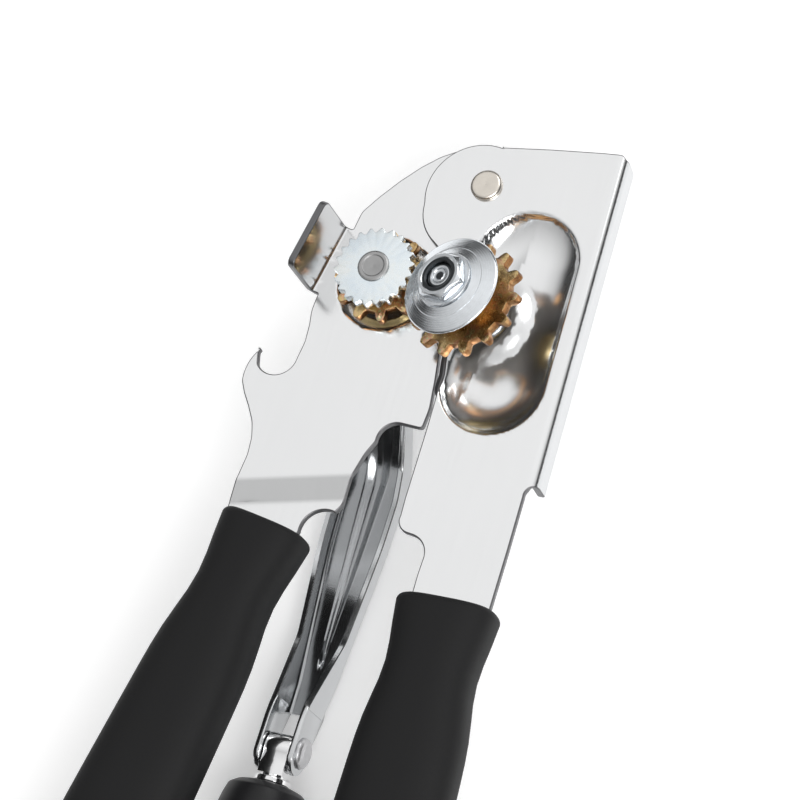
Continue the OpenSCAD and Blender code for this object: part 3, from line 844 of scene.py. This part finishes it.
add_piece("cutter_stud_turned",
          lathe([(0, -3.2), (2.4, -3.15), (4.1, -2.6), (4.4, -2.0), (4.4, -1.8), (3, -1.8), (3, 0), (5, 0), (5, 1.6),
                 (3, 1.6), (3, HEAD_U + 1.9), (2.8, HEAD_U + 2.25), (2.3, HEAD_U + 2.4), (1.75, HEAD_U + 2.4),
                 (1.6, HEAD_U + 2.05), (1.0, HEAD_U + 2.0), (0.85, HEAD_U + 2.25), (0, HEAD_U + 2.25)], 0.12),
          STUD, "cutter_lever", ["cutter_stud"], washer_finish, others=[dark_ring],
          zone=lambda c, n: c.z > HEAD_U + 1 and (2.35 < math.hypot(c.x, c.y) or math.hypot(c.x, c.y) < 0.9))
add_piece("stud_spacer_turned",
          lathe([(SHAFT_BORE, 1.6), (4.4, 1.6), (4.4, GEAR_BACK - 0.1), (SHAFT_BORE, GEAR_BACK - 0.1)], 0.12),
          STUD, "cutter_lever", ["stud_spacer"], brass_finish)
add_piece("cutter_gear_toothed",
          joined(prism(gear_outline(14, 12.32, 0.5), GEAR_BACK, GEAR_BACK + 2.2, 0.14, 3.05),
                 lathe([(3.05, GEAR_BACK + 2.1), (4.8, GEAR_BACK + 2.1), (4.8, CUTTER_BACK), (3.05, CUTTER_BACK)],
                       0.1)),
          STUD, "cutter", ["cutter_gear"], yellow_zinc, others=[gear_back_painted_shade, flank_painted_shade],
          zone=gear_shade_zone)
add_piece("cutter_wheel_turned",
          lathe([(3.05, CUTTER_BACK), (10.5, CUTTER_BACK), (11.2, CUTTER_BACK + 0.8), (11.2, CUTTER_BACK + 1.1),
                 (10.9, CUTTER_BACK + 1.35), (8.3, CUTTER_BACK + 2.5), (8.1, CUTTER_BACK + 2.48),
                 (6.7, CUTTER_BACK + 3.15), (6.4, CUTTER_BACK + 3.3), (3.05, CUTTER_BACK + 3.3)], 0.1, 128),
          STUD, "cutter", ["cutter_wheel"], wheel_finish)
add_piece("cutter_washer_turned",
          lathe([(SHAFT_BORE, HEAD_U), (6.2, HEAD_U), (6.2, HEAD_U + 0.6), (SHAFT_BORE, HEAD_U + 0.6)], 0.14),
          STUD, "cutter_lever", ["cutter_washer"], washer_finish)


def hex_nut(z, height):
    """Hexagon nut with a turned chamfer that leaves curved edges on the flats."""
    bm = bmesh.new()
    steps = 144
    flat = 5.7 * math.cos(math.pi / 6)
    rows = []
    for i in range(steps):
        a = 2 * math.pi * i / steps
        r = min(flat / math.cos((a % (math.pi / 3)) - math.pi / 6), 5.6)
        top = z + height - max(0.0, (r - 4.75) * 0.62)
        low = z + max(0.0, (r - 5.0) * 0.4)
        profile = [(3.05, z + 0.2), (3.3, z), (4.9, z), (r - 0.06, low), (r, low + 0.08), (r, top - 0.08),
                   (r - 0.07, top), (4.75, z + height), (4.1, z + height), (3.95, z + height - 0.12),
                   (3.3, z + height - 0.12), (3.05, z + height - 0.3)]
        rows.append([bm.verts.new((q * math.cos(a), q * math.sin(a), h)) for q, h in profile])
    for i, row in enumerate(rows):
        after = rows[(i + 1) % steps]
        for k in range(len(row)):
            bm.faces.new((row[k], after[k], after[(k + 1) % len(row)], row[(k + 1) % len(row)]))
    clean(bm)
    return bm


add_piece("cutter_nut_hexagon", hex_nut(HEAD_U + 0.6, 2.4), STUD, "cutter_lever", ["cutter_nut"],
          nut_finish, sharp=28, others=[dark_ring], zone=lambda c, n: math.hypot(c.x, c.y) < 4.02 and n.z > 0.3)


# ---------------------------------------------------------------- crank

def between(table, y):
    """Value at y of a table that falls in y."""
    for (y1, a), (y2, b) in zip(table, table[1:]):
        if y2 <= y <= y1:
            return a + (b - a) * (y1 - y) / (y1 - y2)
    return table[0][1] if y > table[0][0] else table[-1][1]


def eased(table, y, reach):
    """The same, averaged over a little length so that bends are round."""
    return sum(between(table, y + reach * (k - 3) / 3) for k in range(7)) / 7


# Tables of a distance along the arm and the height or half width there.
WEB_LOW = [(4, -7), (-7.4, -7), (-10.2, -8.45), (-31.9, CRANK_BACK + 1.8), (-36, CRANK_BACK), (-84, CRANK_BACK),
           (-91, CRANK_BACK + 1.3)]
WALL_TOP = [(4, -6.2), (-10.4, -6.2), (-14, -6.4), (-34.5, CRANK_BACK + 7.8), (-41, CRANK_BACK + 5.5),
            (-74, CRANK_BACK + 5.5), (-91, -RIVET_DEPTH + 3.7)]
HALF = [(4, 7.9), (-36, 7.9), (-52, 7.6), (-91, 4.5), (-100, 4.5)]


def channel_section(y):
    """Closed ring of the channel's cross section at a distance along the arm."""
    w, low, top = eased(HALF, y, 3), eased(WEB_LOW, y, 1.5), eased(WALL_TOP, y, 1.2)
    web, wall, r, inner = 1.6, 1.3, 1.7, 0.7
    high = max(top, low + web + 0.02)
    along = min(max((-y - 20) / 58, 0), 1)
    crease = (1.15 - 0.5 * along) * smooth((-18 - y) / 8) * smooth((y + 80) / 3)
    crease += 0.55 * math.exp(-((y + 77.5) / 1.3) ** 2)
    reach = 0.62 - 0.44 * along
    depth = high - (low + web)
    r = min(r, max(0.3, depth * 0.6))
    inner = min(inner, max(0.02, depth * 0.4))
    shoulder = high - 0.2 if depth > 0.5 else high - 0.01

    def corner(side, x, z, radius, angles):
        """Rounded corner about a point; side is 1 on the right and -1 on the left."""
        return [(side * (x + radius * math.sin(math.radians(a))), z - radius * math.cos(math.radians(a)))
                for a in angles]

    ring = [(-w + wall - 0.2, high), (-w + 0.2, high), (-w, shoulder)]
    ring += corner(-1, w - r, low + r, r, (90, 68, 45, 22, 0))
    ring += corner(1, w - r, low + r, r, (0, 22, 45, 68, 90))
    ring += [(w, shoulder), (w - 0.2, high), (w - wall + 0.2, high), (w - wall, shoulder)]
    span = w - wall - inner
    ring += corner(1, span, low + web + inner, inner, (90, 45, 0))
    ring += [(span * t, low + web - crease * smooth(1.15 * (1 - abs(t) / reach)))
             for t in spread(0.94, -0.94, -0.0627)]
    ring += corner(-1, span, low + web + inner, inner, (0, 45, 90))
    ring += [(-w + wall, shoulder)]
    return [(x, y, z) for x, z in ring]


def cheek(x1, x2):
    """One ear of the fork that holds the fold rivet, drawn from the side."""
    d = -RIVET_DEPTH
    outline = ([(-89.4, CRANK_BACK + 1.6), (-91, CRANK_BACK + 1.35), (-96, CRANK_BACK + 3.1), (-98.6, d - 4.3)]
               + arc((-100.4, d), 4.6, 262, 110, 18)
               + [(-94, d + 4.1), (-91, d + 3.66), (-89.4, d + 3.0)])
    return moved(prism(outline, x1, x2, 0.2), Matrix(((0, 0, 1, 0), (1, 0, 0, 0), (0, 1, 0, 0), (0, 0, 0, 1))))


def channel_shade_faces(centre, normal):
    """Inner faces of the channel, which get painted shade, darker than its outside."""
    if centre.y > -9 or centre.y < -91:
        return 0
    half = eased(HALF, centre.y, 3)
    return abs(centre.x) < half - 1.2 and (normal.z > 0.3 or normal.x * centre.x < 0)


arm = loft([channel_section(y) for y in spread(-91, -3.5, 0.75)])
hub = lathe([(SHAFT_BORE, -7), (8.8, -7), (8.8, -5.4), (SHAFT_BORE, -5.4)], 0.2)
add_piece("crank_arm_pressed", joined(arm, hub, cheek(-4.49, -3.21), cheek(3.21, 4.49)), CRANK, "drive",
          ["crank_arm"], channel_finish, sharp=40, others=[shaded_channel_interior], zone=channel_shade_faces)
add_piece("crank_hub_rivet_peened",
          lathe([(SHAFT_BORE, -7), (4.6, -7), (4.4, -7.9), (3.7, -8.5), (SHAFT_BORE, -8.55)], 0.2),
          DRIVE, "drive", ["crank_hub_rivet"], satin_finish)
add_piece("crank_rivet_domed",
          lathe([(0, -5.7), (1.6, -5.65), (2.6, -5.25), (3.0, -4.7), (3.0, -4.5), (1.58, -4.5), (1.58, 4.5),
                 (3.4, 4.5), (3.4, 5.0), (3.0, 5.6), (2.2, 6.05), (1.1, 6.2), (0, 6.2)], 0.18),
          RIVET, "drive", ["crank_rivet"], satin_finish)


# ---------------------------------------------------------------- stem and crank grip

rod = lathe([(0, 5.2), (2.4, 5.2), (2.9, 5.7), (2.9, 6.6), (3.9, 6.6), (4, 6.8), (4, 7.6), (3.9, 7.8), (2.9, 7.8),
             (2.9, 65.6), (2.5, 66), (0, 66)], 0.15, 64)
eye_outline = arc((0, 0), 3.3, 62, 298, 28) + [(3.4, -2.9), (6.0, -2.9), (6.0, 2.9), (3.4, 2.9)]
eye = moved(prism(eye_outline, -2.9, 2.9, 0.25, 1.65),
            Matrix(((0, 1, 0, 0), (0, 0, -1, 0), (1, 0, 0, 0), (0, 0, 0, 1))))
add_piece("crank_stem_rod", joined(rod, eye), STEM, "stem", ["crank_stem"], rod_finish, sharp=35)
knob = ([(2.97, 8), (5, 8), (7.2, 8.6), (8.8, 9.8), (9.4, 12), (9.9, 15), (9.75, 22), (9.6, 30), (9.15, 38),
         (8.9, 45), (9.15, 50), (9.6, 55), (9.9, 60)]
        + arc((4.9, 64), 5, 0, 90, 10) + [(4.5, 69), (4.5, 64.5), (2.97, 64.5)])
add_piece("crank_grip_moulded", lathe(knob, 0.3, 96), STEM, "grip", ["crank_grip"], plastic_finish)
add_piece("grip_cap_turned", lathe([(0, 66), (2.9, 66), (2.9, 64.7), (4.1, 64.7), (4.1, 67.2), (0, 67.2)], 0.15),
          STEM, "stem", ["grip_cap"], washer_finish)


# ---------------------------------------------------------------- floor, light and camera

def plain(name, colour, rough, glow):
    """Even matt surface that glows a little."""
    f = Finish(name, roughness=rough, emission_strength=glow)
    f.shader.inputs["Emission Color"].default_value = (1, 1, 1, 1)
    f.shader.inputs["Base Color"].default_value = (*colour, 1)
    return f.material


bm = bmesh.new()
bmesh.ops.create_grid(bm, x_segments=2, y_segments=2, size=3)
mesh = bpy.data.meshes.new("floor")
bm.to_mesh(mesh)
bm.free()
floor = bpy.data.objects.new("floor", mesh)
floor.location = (0, 0, cad_box[0][2] - 0.0002)
mesh.materials.append(plain("pale_floor", (0.9, 0.9, 0.9), 0.9, 0.32))
bpy.context.scene.collection.objects.link(floor)


def soft_light(name, place, target, size, power):
    """Large rectangular lamp that looks at a point."""
    data = bpy.data.lights.new(name, "AREA")
    data.shape, data.size, data.size_y = "RECTANGLE", size[0], size[1]
    data.energy = power
    lamp = bpy.data.objects.new(name, data)
    lamp.location = place
    lamp.rotation_euler = (Vector(target) - Vector(place)).to_track_quat("-Z", "Y").to_euler()
    bpy.context.scene.collection.objects.link(lamp)


middle = (Vector(cad_box[0]) + Vector(cad_box[1])) / 2
soft_light("front_key", (0.75, -0.6, 0.95), middle, (0.9, 0.7), 9)
soft_light("back_fill", (0.5, 1.0, 0.9), middle, (0.9, 0.5), 4)

SKY_TONES = ((0.0, 0.3), (0.1, 0.03), (0.34, 0.05), (0.55, 0.62), (0.8, 0.9), (1.0, 0.97))
SKY_TILT, SKY_LEVEL = 0.42, 0.88      # the sky is brighter towards +Y
world = bpy.data.worlds.new("studio")
world.use_nodes = True
sky = world.node_tree
coordinate = sky.nodes.new("ShaderNodeTexCoord")
split = sky.nodes.new("ShaderNodeSeparateXYZ")
ramp = sky.nodes.new("ShaderNodeValToRGB")
sky.links.new(coordinate.outputs["Generated"], split.inputs[0])
sky.links.new(split.outputs[2], ramp.inputs[0])
for at, tone in SKY_TONES:
    element = ramp.color_ramp.elements.new(at)
    element.color = (tone, tone, tone, 1)
ramp.color_ramp.elements.remove(ramp.color_ramp.elements[0])
tilt = sky.nodes.new("ShaderNodeMath")
tilt.operation, tilt.use_clamp = "MULTIPLY_ADD", True
tilt.inputs[1].default_value, tilt.inputs[2].default_value = SKY_TILT, SKY_LEVEL
sky.links.new(split.outputs[1], tilt.inputs[0])
shade = sky.nodes.new("ShaderNodeVectorMath")
shade.operation = "SCALE"
sky.links.new(ramp.outputs[0], shade.inputs[0])
sky.links.new(tilt.outputs[0], shade.inputs["Scale"])
sky.links.new(shade.outputs[0], sky.nodes["Background"].inputs["Color"])
sky.nodes["Background"].inputs["Strength"].default_value = 1.0
bpy.context.scene.world = world
bpy.context.scene.view_settings.view_transform = "Standard"

FOCAL = 2854.5 / 800         # focal length as a share of the frame's width
SENSOR = 36
EYE = (228.96, -125.71, 565.41)       # camera's place, mm
VIEW = Matrix(((0.910338, 0.298631, -0.28654), (-0.183739, 0.911998, 0.366742), (0.370844, -0.28121, 0.885096)))
camera_data = bpy.data.cameras.new("camera")
camera_data.sensor_width = SENSOR
camera_data.lens = FOCAL * SENSOR
camera_data.clip_start, camera_data.clip_end = 0.01, 20
camera = bpy.data.objects.new("camera", camera_data)
camera.matrix_world = Matrix.Translation(Vector(EYE) * MM) @ VIEW.transposed().to_4x4()
bpy.context.scene.collection.objects.link(camera)
bpy.context.scene.camera = camera
